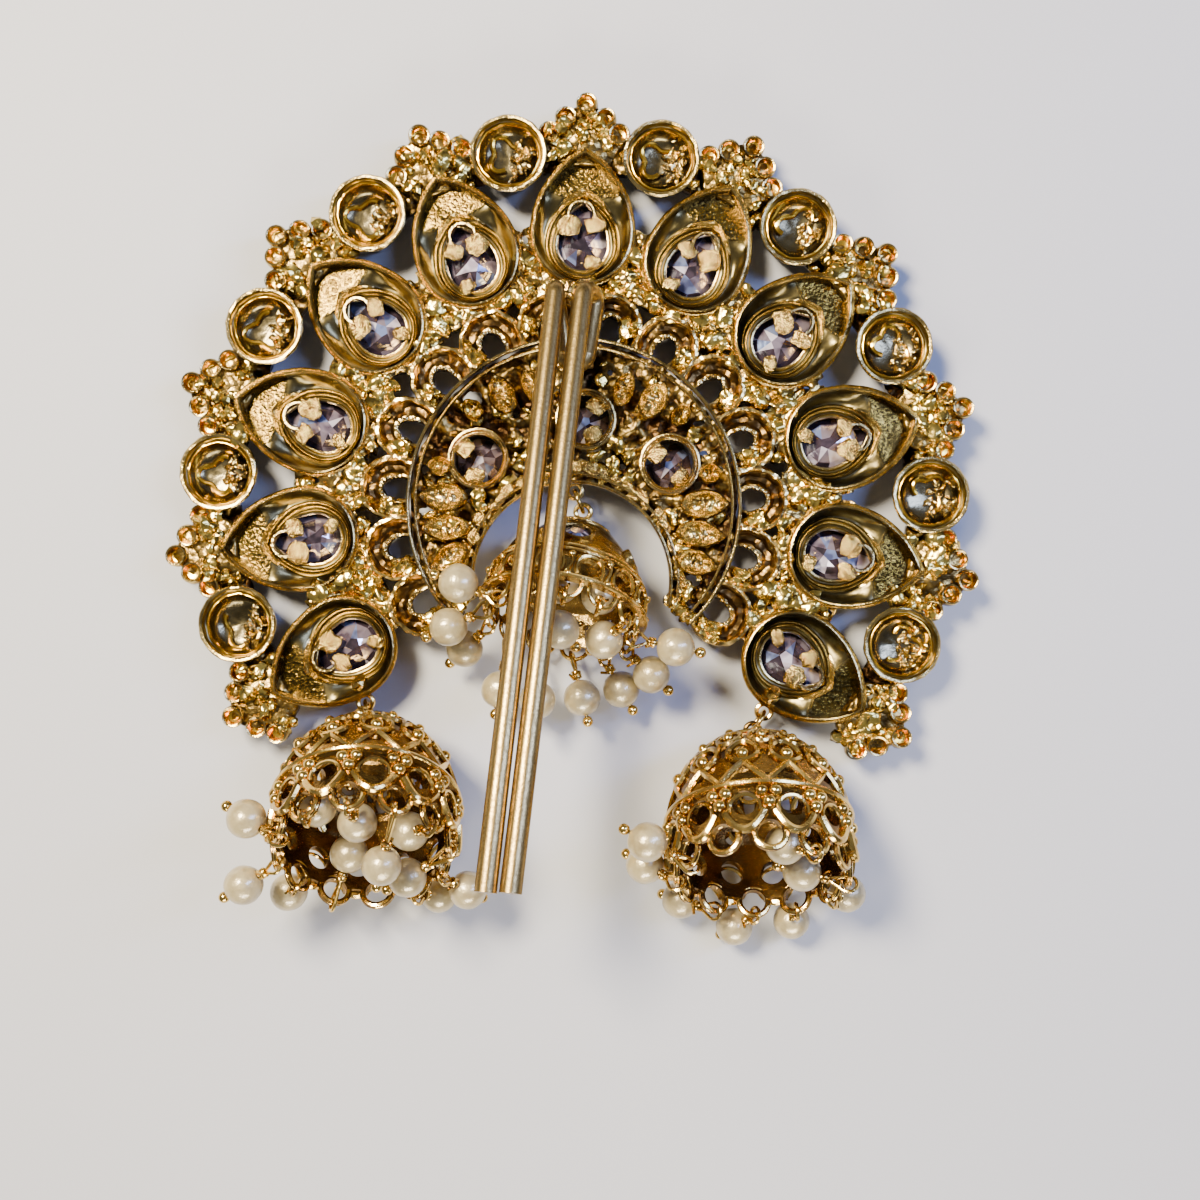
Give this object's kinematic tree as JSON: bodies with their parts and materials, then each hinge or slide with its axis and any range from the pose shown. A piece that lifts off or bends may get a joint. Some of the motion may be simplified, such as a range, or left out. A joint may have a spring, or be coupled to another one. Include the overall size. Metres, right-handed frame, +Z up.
{
  "type": "hair bun pin",
  "caption": "Fan-shaped pierced bun pin, back up, with pear and round settings, a lace-edged crescent, a two-pronged wire fork and pearl-hung bells.",
  "frame": {"origin": "on the surface that the pin lies on, below the middle of its bounding box", "axes": "+X to the right with the back facing the viewer, +Y towards the top of the fan, +Z up from the surface, out of the back"},
  "size_m": [0.0812, 0.0848, 0.025],
  "materials": {
    "cast_gold": "rough cast back with antique gold plating, smooth polished dishes",
    "fork_gold": "satin drawn wire",
    "bell_gold": "polished gold plating",
    "stone": "faceted clear stone with a lavender-grey tone",
    "pearl": "cream pearl lustre"
  },
  "bodies": {
    "root": {"fan_plate": "cast_gold", "crescent_plate": "cast_gold", "pear_stone_1": "stone", "pear_stone_2": "stone", "pear_stone_3": "stone", "pear_stone_4": "stone", "pear_stone_5": "stone", "pear_stone_6": "stone", "pear_stone_7": "stone", "pear_stone_8": "stone", "pear_stone_9": "stone", "pear_stone_10": "stone", "pear_stone_11": "stone", "round_stone_1": "stone", "round_stone_2": "stone", "round_stone_3": "stone", "hair_fork": "fork_gold", "ring_left": "bell_gold", "ring_middle": "bell_gold", "ring_right": "bell_gold", "bell_left": "bell_gold", "bell_middle": "bell_gold", "bell_right": "bell_gold", "bell_stones": "stone", "pearls_left": "pearl", "pearls_middle": "pearl", "pearls_right": "pearl", "pins_left": "bell_gold", "pins_middle": "bell_gold", "pins_right": "bell_gold"}
  },
  "joints": []
}
